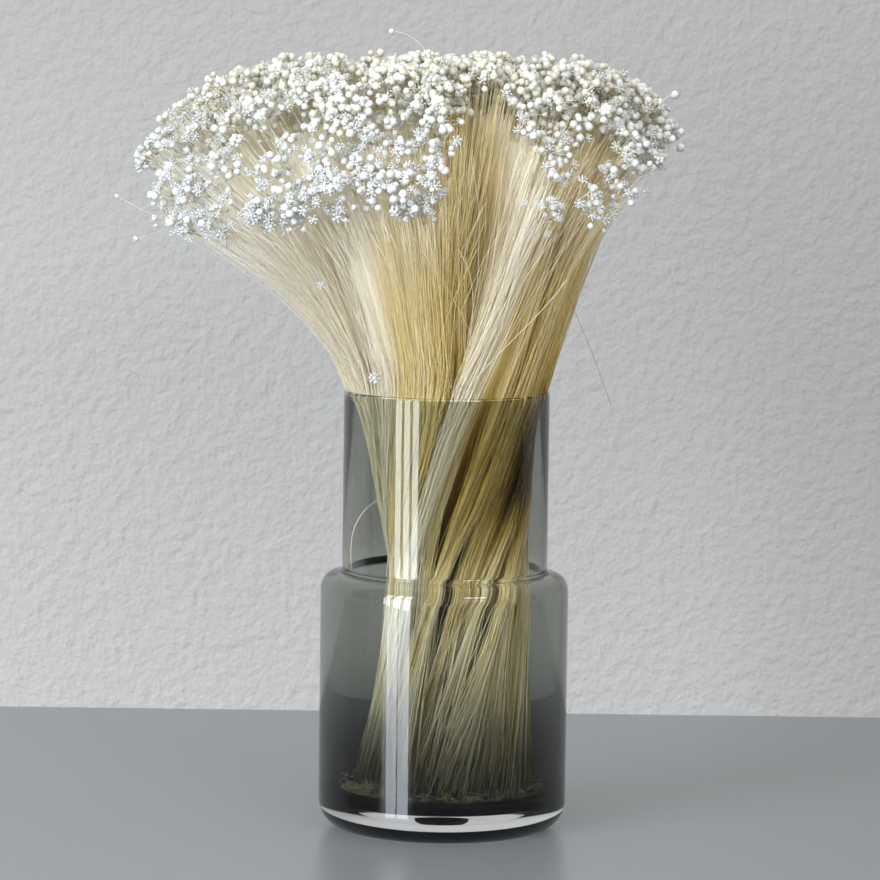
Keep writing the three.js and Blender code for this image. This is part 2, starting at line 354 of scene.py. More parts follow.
def smoke_finish():
    """The tint of the wall, which darkens towards the foot."""
    finish = glass_finish("smoke_lining", 1.0)
    top = SMOKE[-1][0]
    height = finish.remap(finish.height(), 0, top * MM)
    colour = finish.ramp(height, [(z / top, tint) for z, tint in SMOKE])
    finish.link(colour, finish.shader.inputs["Base Color"])
    # the light that comes in through the wall is tinted less
    lighter = finish.add("ShaderNodeGamma")
    lighter.inputs["Gamma"].default_value = SHADE_SHARE
    finish.link(colour, lighter.inputs["Color"])
    finish.link(lighter.outputs["Color"], finish.clear.inputs["Color"])
    return finish.material


def dark_floor_finish():
    """The smoke tint over the thick base, darkened almost to black as painted shade."""
    finish = glass_finish("smoke_and_shade_lining_floor", 1.0)
    finish.set(Base_Color=(*SMOKE_AND_SHADE_FLOOR, 1))
    finish.clear.inputs["Color"].default_value = [math.sqrt(part) for part in SMOKE_AND_SHADE_FLOOR] + [1]
    return finish.material


def gleam_finish():
    """A bright face inside the glass that mirrors what's behind the vase: a painted reflection, standing in
    for the one the hollow underside gives.
    """
    finish = Finish("base_gleam")
    finish.set(Base_Color=(0.9, 0.9, 0.9, 1), Metallic=1.0, Roughness=0.12)
    finish.bump(finish.noise(220, 2), 0.0004, 0.25)
    return finish.material


def flat_disc(radius, z):
    """The profile of a flat, closed disc in the glass, from its foot at z up."""
    edge = radius * 0.9
    top = z + DISC_HEIGHT
    middle = z + DISC_HEIGHT / 2
    return [(0, z), (edge, z + DISC_CROWN), (radius, middle), (edge, top - DISC_CROWN), (0, top)]


def turned_body(name, profile, materials):
    """A closed body of revolution, from a profile that starts and ends on the axis."""
    bm = bmesh.new()
    verts = [bm.verts.new((r * MM, 0, z * MM)) for r, z in profile]
    edges = [bm.edges.new(pair) for pair in zip(verts, verts[1:])]
    bmesh.ops.spin(
        bm,
        geom=verts + edges,
        cent=(0, 0, 0),
        axis=(0, 0, 1),
        angle=2 * math.pi,
        steps=VASE_STEPS,
        use_merge=True,
    )
    bmesh.ops.remove_doubles(bm, verts=bm.verts, dist=1e-6)
    bmesh.ops.recalc_face_normals(bm, faces=bm.faces)
    body = new_object(name, mesh_from(bm, name))
    for material in materials:
        body.data.materials.append(material)
    return body


def inside_line(depth):
    """The vase's inside from the lip down to the axis, or a line that deep in the glass behind it."""
    body = BODY_RADIUS - BODY_WALL + depth
    foot = BODY_RADIUS - FOOT_WALL + depth
    neck = NECK_RADIUS - NECK_WALL + depth
    neck_foot = NECK_FOOT - SHOULDER_WALL + depth
    hollow = shoulder(body, neck, neck_foot, SHOULDER_ROUND - depth, NECK_ROUND + depth)
    return [
        *reversed(hollow),
        *arc((foot - depth - FLOOR_ROUND, FLOOR_THICKNESS + FLOOR_ROUND), FLOOR_ROUND + depth, 0, -90),
        (0, FLOOR_THICKNESS - depth),
    ]


def make_vase():
    lip = NECK_WALL / 2
    profile = [
        (0, HOLLOW_HEIGHT),
        (HOLLOW_RADIUS * 0.35, HOLLOW_HEIGHT * 0.9),
        (HOLLOW_RADIUS * 0.7, HOLLOW_HEIGHT * 0.55),
        (HOLLOW_RADIUS, HOLLOW_HEIGHT * 0.1),
        *arc((BODY_RADIUS - FOOT_ROUND, FOOT_ROUND), FOOT_ROUND, -90, 0),
        *shoulder(BODY_RADIUS, NECK_RADIUS, NECK_FOOT, SHOULDER_ROUND, NECK_ROUND),
        *arc((NECK_RADIUS - lip, VASE_HEIGHT - lip), lip, 0, 180),
        *inside_line(0),
    ]
    clear = glass_finish("clear_glass", 1.5)
    # hardly any light comes up through the hollow underside
    underside = glass_finish("clear_glass_underside", 1.5)
    underside.clear.inputs["Color"].default_value = [UNDERSIDE_SHADE] * 3 + [1]
    glass = turned_body("vase_glass", profile, [clear.material, underside.material])
    for face in glass.data.polygons:
        low = face.center.z < (HOLLOW_HEIGHT + 0.1) * MM
        face.material_index = int(low and face.center.xy.length < UNDERSIDE * MM)
    dress(glass, "vase")
    dark = dark_floor_finish()
    make_base_reflection_and_shade(dark)
    make_lining(dark)


def make_base_reflection_and_shade(dark):
    """A flat mirror disc in the clear base as a painted reflection, with a small dark disc of painted shade
    in its middle.
    """
    # painted reflection: a mirror disc in the base, where the hollow underside would mirror the room
    gleam = turned_body("vase_base_gleam", flat_disc(GLEAM_RADIUS, GLEAM_Z), [gleam_finish()])
    dress(gleam, "vase")
    # painted shade: a small dark disc on top of it
    shade_disc_z = GLEAM_Z + DISC_HEIGHT + DISC_CROWN
    shade_disc = turned_body("vase_base_painted_shade", flat_disc(SHADE_DISC_RADIUS, shade_disc_z), [dark])
    dress(shade_disc, "vase")


def make_lining(dark):
    """The smoke layer in the glass. In the floor it lies deeper than in the wall, and there it is almost
    black, as painted shade of the base.
    """
    neck = NECK_RADIUS - NECK_WALL + LINING_DEPTH
    profile = [
        *reversed(inside_line(LINING_DEPTH + LINING)),
        (neck + LINING, LINING_TOP),
        (neck, LINING_TOP),
        *inside_line(LINING_DEPTH),
    ]
    floor = FLOOR_THICKNESS
    profile = [(r, z - FLOOR_DROP * share(z, floor + FLOOR_ROUND, floor)) for r, z in profile]
    lining = turned_body("vase_smoke_lining", profile, [smoke_finish(), dark])
    for face in lining.data.polygons:
        face.material_index = int(face.center.z < (floor - FLOOR_DROP + 0.5) * MM)
    dress(lining, "vase")


# Stems: radii and lengths in millimetres, angles in degrees
STEM_RADIUS = 0.15
STEM_PLACES = 9
SKIN_STEMS = 1080
LOCKS = 32
LOCK_SPREAD = 0.10
LOCK_DRAW = 0.8
SIDE_LOCKS = 0.3
WISPS = 5
WISP_DRAW = 0.55
WISP_TURN = 7
WISP_DEPTH = 0.4
WAYWARD = 0.2
CROSSING = 0.15
THICK = 0.3
THICK_BY = 0.9
STEM_SPLAY = 11
LOCK_SPLAY = 13

# From which rise down to which: the locks draw together, run into wisps, come loose, and some stems thicken
PACKED_RISE = (0.6, 0.35)
WISP_RISE = (0.42, 0.22)
LOOSE_RISE = (0.34, 0)
THICK_RISE = (0.5, 0.2)

# The golden cleft at the front is the side of one spray, which faces the next; the deeper gold of its stems
# is painted shade
CLEFT_SPRAY = "front_right"
CLEFT_FAR = -2.6
CLEFT_STEMS = 300
CLEFT_SHADE_TINT = 0.38

# Tints: 0 is dark brown, 0.3 golden and 1 the palest straw. The list goes round the vase from the front. It
# is partly the sprays' own tone and partly painted light and shade: paler at the lit left, more golden at
# the shaded right and back.
TINT_AND_SHADE_AT = [0.34, 0.84, 0.48, 0.32, 0.38, 0.42, 0.45, 0.45, 0.45, 0.45, 0.50, 0.60, 0.72, 0.92, 0.98, 0.56]
LOCK_TINTS = 0.09
WISP_TINTS = 0.1
STEM_TINTS = 0.12
SHADED = 0.3
SHADED_BY = 0.45
PALE_TOP = 0.32
PALE_TOP_RISE = (0.74, 0.92)
PALE_FOOT = 0.42
PALE_FOOT_RISE = (0.4, 0.2)

# Painted shade: how much more golden each spray is inside the neck, and how much browner under the rim
NECK_SHADES = {
    "left": (0.1, 0.12),
    "front_left": (0, 0.08),
    "front_right": (0.2, 0.06),
    "right": (0.12, 0.34),
    "back_right": (0.1, 0.3),
    "back_left": (0, 0.2),
}


def triangle_profile():
    """The three-sided section that is drawn along every stem."""
    curve = bpy.data.curves.new("stem_section", "CURVE")
    curve.dimensions = "2D"
    spline = curve.splines.new("POLY")
    spline.points.add(2)
    for i, point in enumerate(spline.points):
        angle = math.radians(120 * i)
        point.co = (math.cos(angle) * MM, math.sin(angle) * MM, 0, 1)
    spline.use_cyclic_u = True
    return bpy.data.objects.new("stem_section", curve)


def tubes(name, paths, radii, section):
    """Three-sided tubes along paths, with a radius in millimetres for every place, closed at their ends."""
    curve = bpy.data.curves.new(name, "CURVE")
    curve.dimensions = "3D"
    curve.resolution_u = 1
    curve.bevel_mode = "OBJECT"
    curve.bevel_object = section
    for path, radius in zip(paths, radii):
        spline = curve.splines.new("POLY")
        spline.points.add(len(path) - 1)
        spline.points.foreach_set("co", np.column_stack([path, np.ones(len(path))]).ravel())
        spline.points.foreach_set("radius", np.broadcast_to(radius, len(path)))
    drawn = bpy.data.objects.new(name, curve)
    bpy.context.scene.collection.objects.link(drawn)
    bpy.context.view_layer.update()
    mesh = bpy.data.meshes.new_from_object(drawn.evaluated_get(bpy.context.evaluated_depsgraph_get()))
    bpy.data.objects.remove(drawn)
    bm = bmesh.new()
    bm.from_mesh(mesh)
    ends = [edge for edge in bm.edges if edge.is_boundary]
    bmesh.ops.holes_fill(bm, edges=ends, sides=3)
    bmesh.ops.recalc_face_normals(bm, faces=bm.faces)
    bm.to_mesh(mesh)
    bm.free()
    mesh.polygons.foreach_set("use_smooth", [True] * len(mesh.polygons))
    return mesh


def paint(mesh, name, values):
    """Keeps one number for each vertex on the mesh."""
    attribute = mesh.attributes.new(name, "FLOAT", "POINT")
    attribute.data.foreach_set("value", np.asarray(values, np.float32))


def lock_places(count):
    """Middles of the locks round a spray's outline: how far across it and how far out."""
    across = rng.uniform(-1, 1, count)
    ring = 1 - 0.22 * rng.random(count) ** 1.4
    beside = rng.random(count) < SIDE_LOCKS
    side = np.sign(rng.normal(0, 1, count))
    across = np.where(beside, side * (0.98 - 0.1 * rng.random(count)), across)
    ring = np.where(beside, rng.uniform(0.25, 0.98, count), ring)
    return across, ring


def tint_shift(spray, across, rise):
    """Paler at the crown, and painted shade: golden in the neck, and brown behind the rim at the right."""
    shift = PALE_TOP * share(rise, *PALE_TOP_RISE)
    shift = np.where((spray == CLEFT_SPRAY) & (across < -1), 0.4 * shift, shift)
    shift = shift + PALE_FOOT * share(rise, *PALE_FOOT_RISE)
    neck = np.exp(-(((rise - 0.44) / 0.09) ** 2))
    under_rim = share(rise, 0.36, 0.42) * share(rise, 0.58, 0.55)
    golden, brown = NECK_SHADES[spray]
    inner = share(across, -0.6, -0.2) if spray == CLEFT_SPRAY else 1
    return shift - (golden * neck + brown * under_rim) * inner


def wisps(lock_across):
    """How each lock runs into its wisp in the vase: the way across, its turn, its depth and its tint."""
    wisp = np.clip((lock_across + 1) / 2 * WISPS, 0, WISPS - 1).astype(int)
    way = (2 * wisp + 1) / WISPS - 1 - lock_across
    turn = rng.normal(0, WISP_TURN, WISPS)[wisp]
    depth = WISP_DEPTH * rng.random(WISPS)[wisp] ** 1.3
    tint = rng.normal(0, WISP_TINTS, WISPS)[wisp]
    return way, turn, depth, tint


def skin_paths(spray, count):
    """Paths of the stems that show, gathered in locks, with the rise and the tint at every place."""
    lock = rng.integers(0, LOCKS, count)
    lock_across, lock_ring = lock_places(LOCKS)
    lock_tint = rng.normal(0, LOCK_TINTS, LOCKS)
    way, turn, depth, wisp_tint = (values[lock][:, None] for values in wisps(lock_across))

    # where each stem stands in the sheaf: across its spray, and how far out
    off_lock = rng.normal(0, LOCK_SPREAD, count)
    fray = 1 + 0.1 * np.abs(rng.normal(0, 1, count))
    # stray ones of the front left spray lie over the cleft
    edge = 1.3 if spray == "front_left" else 1.04
    across = np.clip((lock_across[lock] + off_lock) * fray, -1.04, edge)
    ring = np.clip(lock_ring[lock] + rng.normal(0, 0.035, count), 0.2, 1.03)
    in_cleft = np.zeros(count, bool)
    if spray == CLEFT_SPRAY:
        in_cleft[:CLEFT_STEMS] = True
        across[in_cleft] = rng.uniform(CLEFT_FAR, -0.9, CLEFT_STEMS)
        ring[in_cleft] = rng.uniform(0.2, 0.84, CLEFT_STEMS)
    start = 0.05 * rng.random(count) ** 1.5 + 0.12 * rng.random(LOCKS)[lock] ** 2
    end = 0.98 - 0.10 * rng.random(count)
    rise = start[:, None] + (end - start)[:, None] * np.linspace(0, 1, STEM_PLACES)

    # how it leaves its lock: some go astray over the rim, some cross others, and all spread at the foot
    wave = rng.normal(0, 1, (7, count, 1))
    astray = (rng.random((count, 1)) < WAYWARD) * share(rise, RIM_RISE, 1)
    crossing = rng.random((count, 1)) < CROSSING
    sway = wave[0] * np.sin(2 * np.pi * rise + 6 * wave[1]) * (1.2 + 3.5 * crossing)
    ripple = wave[2] * np.sin(3 * np.pi * rise + 6 * wave[3]) * 0.012
    loose = share(rise, *LOOSE_RISE) ** 1.3
    splay = STEM_SPLAY * wave[4] * loose + rng.normal(0, LOCK_SPLAY, LOCKS)[lock][:, None] * loose

    # in the vase the locks draw together and run into wisps, some of them deeper in the sheaf
    packed = share(rise, *PACKED_RISE)
    low = share(rise, *WISP_RISE)
    across_here = across[:, None] - LOCK_DRAW * packed * off_lock[:, None] * ~in_cleft[:, None]
    across_here = across_here + WISP_DRAW * low * np.clip(rise / 0.2, 0.3, 1) * way
    bearing = spray_bearing(spray, across_here, rise) + sway + splay + 9 * wave[6] * astray + turn * low

    # side stems come out to the sheaf's skin there
    outer = rng.random((count, 1)) ** np.where(in_cleft, 0.3, 1)[:, None]
    out = ring[:, None] + packed * np.clip(0.94 - ring, 0, 1)[:, None] * outer - depth * low
    rings = np.clip(out + ripple - 0.2 * np.abs(wave[5]) * loose + 0.05 * astray, 0.05, 1.04)
    paths = sheaf_point(rings, bearing, rise)

    middle = spray_bearing(spray, across, 0.8)
    tint = around(TINT_AND_SHADE_AT, middle % 360) + lock_tint[lock] + rng.normal(0, LOCK_TINTS, count)
    # painted shade: stems deeper in the sheaf are darker, and those in the cleft take its deeper gold
    tint = np.where(in_cleft, CLEFT_SHADE_TINT + rng.normal(0, 0.1, count), tint + 0.8 * (ring - 0.95))
    own = rng.normal(0, STEM_TINTS, count)[:, None] + wisp_tint
    # painted shade: some stems in the vase are darker, for the shadowed gaps between them
    own = own - SHADED_BY * (rng.random((count, 1)) < SHADED)
    return paths, rise, tint[:, None] + own * low + tint_shift(spray, across[:, None], rise)


# Stems that stray from the sheaf, each with its spray, its tint, whether it has a head, and its bends
STRAYS = [
    (
        "left",
        0.9,
        False,
        [(-108, -38, 262), (-90, -40, 253), (-66, -42, 240), (-48, -38, 216), (-38, -30, 194)],
    ),
    ("left", 0.8, True, [(-145, -20, 280), (-124, -24, 270), (-104, -26, 262), (-80, -28, 250)]),
    ("left", 0.8, True, [(-136, -30, 262), (-127, -30, 265), (-112, -30, 268), (-92, -30, 262)]),
    ("left", 0.8, True, [(-118, -10, 320), (-106, -12, 317), (-88, -14, 312)]),
    ("left", 0.9, False, [(-86, -30, 337), (-78, -32, 338), (-70, -34, 332)]),
    ("left", 0.6, False, [(-24, -30, 153), (-34, -27, 145), (-40, -25, 136), (-41, -24, 118)]),
    ("front_left", 0.8, True, [(-26, -20, 353), (-20, -22, 352), (-12, -24, 346), (-6, -24, 332)]),
    ("front_left", 0.75, True, [(-70, -74, 272), (-66, -70, 262), (-54, -58, 238)]),
    ("front_left", 0.75, True, [(-54, -84, 246), (-50, -76, 236), (-40, -58, 212)]),
    ("front_left", 0.75, True, [(-31, -72, 206), (-30, -60, 202), (-28, -48, 196)]),
    ("front_left", 0.35, False, [(12, -74, 262), (4, -68, 244), (-2, -60, 226), (-6, -48, 202)]),
    ("front_left", 0.45, False, [(-12, -80, 262), (0, -72, 244), (10, -62, 224), (14, -50, 204)]),
    ("front_right", 0.6, False, [(4, -78, 262), (10, -70, 246), (10, -58, 226), (6, -46, 200)]),
    ("front_right", 0.9, False, [(50, -84, 250), (36, -74, 232), (20, -58, 214), (8, -46, 198)]),
    ("right", 0.08, False, [(52, -34, 240), (58, -36, 226), (64, -38, 212), (71, -40, 193)]),
    ("right", 0.6, True, [(101, -10, 304), (92, -12, 302), (80, -14, 296)]),
    ("right", 0.7, True, [(98, -10, 327), (92, -10, 324), (84, -12, 316)]),
]
STRAY_RADIUS = 0.13
STRAY_STALK = 3
MOUTH = (0, 0, 200)

# Chaff on the vase's floor, and a lump of fluff in it
CRUMBS = 900
CRUMB_REACH = (26, 46)
CRUMB_LENGTH = (1.2, 6)
CRUMB_RADIUS = (0.14, 0.5)
LUMP = (-34, -26, 20)
LUMP_CRUMBS = 70


def bent(points, count=STEM_PLACES):
    """A smooth path through points: each coordinate is a curve over the length."""
    points = np.array(points, float)
    along = np.linspace(0, 1, len(points))
    fitted = np.polynomial.polynomial.polyfit(along, points, min(3, len(points) - 1))
    return np.polynomial.polynomial.polyval(np.linspace(0, 1, count), fitted).T * MM


def crumb_paths():
    """Chaff and broken ends on the vase's floor, each a short bit of stem."""
    angle = rng.uniform(0, 2 * np.pi, CRUMBS)
    reach = np.interp(rng.random(CRUMBS) ** 0.7, [0, 1], CRUMB_REACH)
    lift = 0.5 + 4.5 * rng.random(CRUMBS) ** 2 + 0.12 * np.clip(reach - 40, 0, None) ** 2
    middle = np.column_stack([reach * np.cos(angle), reach * np.sin(angle), FLOOR_THICKNESS + lift])
    # some of them hang together in a lump of fluff at the left
    lump = middle[:: CRUMBS // LUMP_CRUMBS]
    lump[:] = LUMP + rng.normal(0, 1.6, lump.shape)
    way = rng.normal(0, 1, (CRUMBS, 3)) * (1, 1, 0.5)
    half = unit(way) * rng.uniform(*CRUMB_LENGTH, (CRUMBS, 1)) / 2
    ends = np.stack([middle - half, middle, middle + half], axis=1)
    # none goes into the wall, or into the floor, which turns up at its edge
    flat = np.hypot(ends[..., 0], ends[..., 1])
    ends[..., :2] *= np.minimum(1, CRUMB_REACH[1] / flat)[..., None]
    floor = FLOOR_THICKNESS + 0.3 + 0.1 * np.clip(np.minimum(flat, CRUMB_REACH[1]) - 40, 0, None) ** 2
    ends[..., 2] = np.maximum(ends[..., 2], floor)
    return ends * MM


def make_stems(spray, crumbs, section, material):
    paths, rise, tint = skin_paths(spray, SKIN_STEMS)
    thick = THICK_BY * (rng.random((len(paths), 1)) < THICK) * share(rise, *THICK_RISE)
    radius = STEM_RADIUS * (1 - 0.5 * rise + thick) * rng.uniform(0.8, 1.3, (len(paths), 1))
    strays = [(bent(points), shade) for owner, shade, _, points in STRAYS if owner == spray]
    every_path = list(paths) + [path for path, _ in strays] + list(crumbs)
    every_radius = list(radius) + [STRAY_RADIUS] * len(strays)
    every_radius += list(rng.uniform(*CRUMB_RADIUS, len(crumbs)))
    mesh = tubes("stems_" + spray, every_path, every_radius, section)
    other_tint = [[shade] * STEM_PLACES for _, shade in strays]
    other_tint += [[shade] * 3 for shade in rng.normal(0.75, 0.25, len(crumbs))]
    tint = np.concatenate([tint.ravel(), *other_tint])
    paint(mesh, "tint", np.repeat(tint, 3))
    dress(new_object("stems_" + spray, mesh, material), "spray_" + spray)


# The dense heart of each spray, which the stems lie on: how far out it goes at each rise
CORE_SIDES = 44
CORE_ROWS = 18
CORE_RISE = [0.16, 0.24, 0.34, 0.45, 0.55, 0.75, 0.86, 0.92]
CORE_OUT = [0.12, 0.30, 0.48, 0.70, 0.88, 0.92, 0.84, 0.45]
CORE_WIDTH = 0.97
CORE_SQUARENESS = 0.55
INNER_RING = 0.10
CORE_SHADE = 0.04
CLEFT_SHADE = 0.20


def faces_cleft(spray, side):
    """Whether a place on a spray's heart faces the golden cleft at the front."""
    return (spray == CLEFT_SPRAY) & (side < -0.7) | (spray == "front_left") & (side > 0.85)


def make_core(spray, material):
    bm = bmesh.new()
    bmesh.ops.create_cone(bm, cap_ends=True, segments=CORE_SIDES, radius1=1, radius2=1, depth=1)
    upright = [edge for edge in bm.edges if abs(edge.verts[0].co.z - edge.verts[1].co.z) > 0.5]
    bmesh.ops.subdivide_edges(bm, edges=upright, cuts=CORE_ROWS)
    bm.verts.ensure_lookup_table()

    # the plain cylinder is bent along the sheaf, with its round section made a soft-cornered slice of cake
    plain = np.array([vert.co for vert in bm.verts])
    rise = CORE_RISE[0] + (CORE_RISE[-1] - CORE_RISE[0]) * (plain[:, 2] + 0.5)
    side, depth = (np.sign(plain[:, :2]) * np.abs(plain[:, :2]) ** CORE_SQUARENESS).T
    out = np.interp(rise, CORE_RISE, CORE_OUT)
    middle = (out + INNER_RING) / 2
    ring = middle + depth * (out - middle)
    turn = np.arctan2(plain[:, 1], plain[:, 0])
    ring = ring * (1 + 0.03 * np.sin(9 * turn + 5 * rise) + 0.02 * np.sin(23 * turn))
    bearing = spray_bearing(spray, CORE_WIDTH * side, rise)
    for vert, place in zip(bm.verts, sheaf_point(ring, bearing, rise)):
        vert.co = place
    bmesh.ops.recalc_face_normals(bm, faces=bm.faces)
    mesh = mesh_from(bm, "heart_" + spray)

    # its finish runs along the stems, in the tint of those in front of it, darkened by a little painted
    # shade, and more where it faces the cleft
    grain = mesh.attributes.new("grain", "FLOAT_VECTOR", "POINT")
    spread = np.column_stack([plain[:, 0] * 2, plain[:, 1] * 2, rise])
    grain.data.foreach_set("vector", spread.astype(np.float32).ravel())
    paint(mesh, "rise", rise)
    at_crown = spray_bearing(spray, CORE_WIDTH * side, 0.8)
    deep = np.where(faces_cleft(spray, side), CLEFT_SHADE, 0)
    paint(mesh, "tint", around(TINT_AND_SHADE_AT, at_crown % 360) - CORE_SHADE - deep + tint_shift(spray, side, rise))
    dress(new_object("heart_" + spray, mesh, material), "spray_" + spray)


# Flower heads: sizes in millimetres. Low ones and those at the left are more often open.
HEADS = 7000
HEAD_WEIGHT = {"left": 1.15, "front_left": 1.12, "back_right": 0.88, "back_left": 0.88}
HEADS_IN_TUFT = (6, 11)
TUFT_REACH = (6.5, 12)
EDGE_SHARE = 0.62
CLEFT_SHARE = 0.22
HEAD_RADIUS = {"bud": (1.35, 2.0), "opening": (1.7, 2.3), "star": (2.3, 3.3), "cluster": (2.6, 3.4)}
STALK_RADIUS = 0.12
HANGING_Z = (338, 278)
LEFT_X = (-30, -110)
OPEN_SHARE = 0.16
CLUSTER_SHARE = 0.015
GOLDEN_ANGLE = math.radians(137.5)

# Their tints, from 0, cream, to 1, cool white
PETAL = [
    (0.0, (0.67, 0.63, 0.49)),
    (0.3, (0.76, 0.75, 0.67)),
    (0.6, (0.77, 0.785, 0.78)),
    (1.0, (0.78, 0.805, 0.84)),
]
HEAD_TINT = 0.32
HEAD_TINTS = 0.16


def bud_shape():
    """A round head, drawn in to its stalk and dimpled on top."""
    bm = bmesh.new()
    bmesh.ops.create_uvsphere(bm, u_segments=8, v_segments=4, radius=1)
    for vert in bm.verts:
        x, y, z = vert.co
        vert.co *= 1 + 0.07 * math.sin(4 * math.atan2(y, x) + 3 * z)
        if z > 0.9:
            vert.co.z -= 0.1
        if z < -0.9:
            vert.co.z -= 0.25
    return mesh_from(bm, "bud")


def add_petals(bm, count, tilt_low, tilt_high, length, width):
    """Narrow petals, each a three-sided blade with a point, spread evenly about +Z."""
    for i in range(count):
        tilt = math.radians(tilt_low + (tilt_high - tilt_low) * (i / (count - 1)) ** 0.7)
        made = bmesh.ops.create_cone(
            bm, cap_ends=True, segments=3, radius1=width * 0.35, radius2=width, depth=length * 0.7
        )
        verts = made["verts"]
        caps = {face for vert in verts for face in vert.link_faces if len(face.verts) == 3}
        tip = max(caps, key=lambda face: face.calc_center_median().z)
        poked = bmesh.ops.poke(bm, faces=[tip])
        for vert in poked["verts"]:
            vert.co.z += length * 0.3
        verts = verts + poked["verts"]
        bmesh.ops.scale(bm, vec=(1, 0.5, 1), verts=verts)
        bmesh.ops.translate(bm, vec=(0, 0, length * 0.35 + 0.15), verts=verts)
        bmesh.ops.rotate(bm, cent=(0, 0, 0), matrix=Matrix.Rotation(tilt, 3, "X"), verts=verts)
        bmesh.ops.rotate(bm, cent=(0, 0, 0), matrix=Matrix.Rotation(GOLDEN_ANGLE * i, 3, "Z"), verts=verts)


def star_shape():
    """An open head: petals on all sides of a small middle."""
    bm = bmesh.new()
    bmesh.ops.create_icosphere(bm, subdivisions=1, radius=0.34)
    add_petals(bm, 10, 16, 92, 0.82, 0.19)
    bmesh.ops.recalc_face_normals(bm, faces=bm.faces)
    return mesh_from(bm, "star")


def opening_shape():
    """A head that has begun to open: a cup of petals over a round base."""
    bm = bmesh.new()
    bmesh.ops.create_icosphere(bm, subdivisions=1, radius=0.56)
    add_petals(bm, 7, 8, 48, 0.78, 0.26)
    bmesh.ops.translate(bm, vec=(0, 0, -0.2), verts=bm.verts)
    bmesh.ops.recalc_face_normals(bm, faces=bm.faces)
    return mesh_from(bm, "opening")


def cluster_shape():
    """Small heads grown together into one lumpy ball."""
    bm = bmesh.new()
    count = 11
    for i in range(count):
        z = 1 - 1.7 * i / (count - 1)
        out = math.sqrt(max(0, 1 - z * z))
        turn = GOLDEN_ANGLE * i
        place = Vector((out * math.cos(turn), out * math.sin(turn), z)) * 0.66
        bmesh.ops.create_icosphere(bm, subdivisions=1, radius=0.4, matrix=Matrix.Translation(place))
    return mesh_from(bm, "cluster")


def unit(vector):
    return vector / np.linalg.norm(vector, axis=-1, keepdims=True)


def turned(axis, spin):
    """Matrices that set +Z on each axis, after a spin about it."""
    side = unit(np.cross(axis, [0.3, 0.4, 0.866]))
    other = np.cross(axis, side)
    x = side * np.cos(spin)[:, None] + other * np.sin(spin)[:, None]
    y = np.cross(axis, x)
    return np.stack([x, y, axis], axis=-1)


def stamp(bm, shape, places, axes, sizes):
    """Adds a copy of a shape at each place, and gives how high each of their vertices is on its head."""
    flat = np.empty(len(shape.vertices) * 3)
    shape.vertices.foreach_get("co", flat)
    rest = flat.reshape(-1, 3)
    frames = turned(axes, rng.uniform(0, 2 * np.pi, len(axes)))
    copy = shape.copy()
    for place, frame_axes, size in zip(places, frames, sizes):
        copy.vertices.foreach_set("co", (rest @ frame_axes.T * size + place).ravel())
        bm.from_mesh(copy)
    bpy.data.meshes.remove(copy)
    return np.tile(rest[:, 2], len(places))


def tuft_points(spray, count):
    """Places and directions of a spray's heads, with the foot of each one's stalk and the tufts' stems."""
    places, axes, feet, stems = [], [], [], []
    while len(places) < count:
        across = rng.uniform(-0.98, 0.98)
        if spray == CLEFT_SPRAY and rng.random() < CLEFT_SHARE:
            across = rng.uniform(CLEFT_FAR, -1)
            ring = rng.uniform(0.1, 0.7)
            top = 1 - 0.02 * abs(rng.normal())
        elif rng.random() < EDGE_SHARE:
            ring = 1.03 - 0.42 * rng.random() ** 1.7
            top = 1 - 0.06 * rng.random() ** 1.5
        else:
            ring = 0.8 * rng.random() ** 0.5
            top = 1 - 0.03 * abs(rng.normal())
        bearing = float(spray_bearing(spray, across, 1))
        way = sheaf_point(ring, bearing, np.array([top - 0.16, top - 0.09, top - 0.02, top]))
        tip, lean = way[-1], unit(way[-1] - way[-2])
        length = rng.uniform(*TUFT_REACH) * MM
        foot = tip - lean * length
        stems.append(np.array([way[0], way[1], foot]))
        for _ in range(rng.integers(*HEADS_IN_TUFT)):
            axis = unit(lean + rng.normal(0, 0.42, 3))
            places.append(foot + axis * length * rng.uniform(0.7, 1.15))
            axes.append(axis)
            feet.append(foot)
    return np.array(places), np.array(axes), np.array(feet), stems


def with_stray_heads(spray, places, axes, feet):
    """Adds the heads of the spray's stray stems, which face away from the vase's mouth."""
    tips = [points[0] for owner, _, headed, points in STRAYS if owner == spray and headed]
    if not tips:
        return places, axes, feet
    tips = np.array(tips) * MM
    outwards = unit(tips - np.array(MOUTH) * MM)
    stalk_feet = tips - STRAY_STALK * MM * outwards
    pairs = ((places, tips), (axes, outwards), (feet, stalk_feet))
    return [np.concatenate(pair) for pair in pairs]


def make_heads(spray, count, shapes, section, petal, straw):
    places, axes, feet, stems = tuft_points(spray, count)
    places, axes, feet = with_stray_heads(spray, places, axes, feet)
    hanging = share(places[:, 2] / MM, *HANGING_Z)
    open_share = OPEN_SHARE + 0.5 * hanging + 0.25 * share(places[:, 0] / MM, *LEFT_X)
    chance = rng.random(len(places))
    kind = np.where(chance < open_share * 0.55, "star", np.where(chance < open_share, "opening", "bud"))
    kind = np.where(chance > 1 - CLUSTER_SHARE, "cluster", kind)
    bm = bmesh.new()
    heights, tints = [], []
    for name, span in HEAD_RADIUS.items():
        these = kind == name
        shape = shapes[name]
        sizes = rng.uniform(*span, these.sum()) * MM
        heights.append(stamp(bm, shape, places[these], axes[these], sizes))
        tint = HEAD_TINT + 0.45 * hanging[these] + rng.normal(0, HEAD_TINTS, these.sum())
        tint = tint + (0.12 if name != "bud" else 0)
        tints.append(np.repeat(tint, len(shape.vertices)))
    mesh = mesh_from(bm, "heads_" + spray)
    paint(mesh, "tint", np.concatenate(tints))
    paint(mesh, "height", np.concatenate(heights))
    dress(new_object("heads_" + spray, mesh, petal), "spray_" + spray)
    make_stalks(spray, [np.array(path) for path in zip(feet, places)], stems, section, straw)


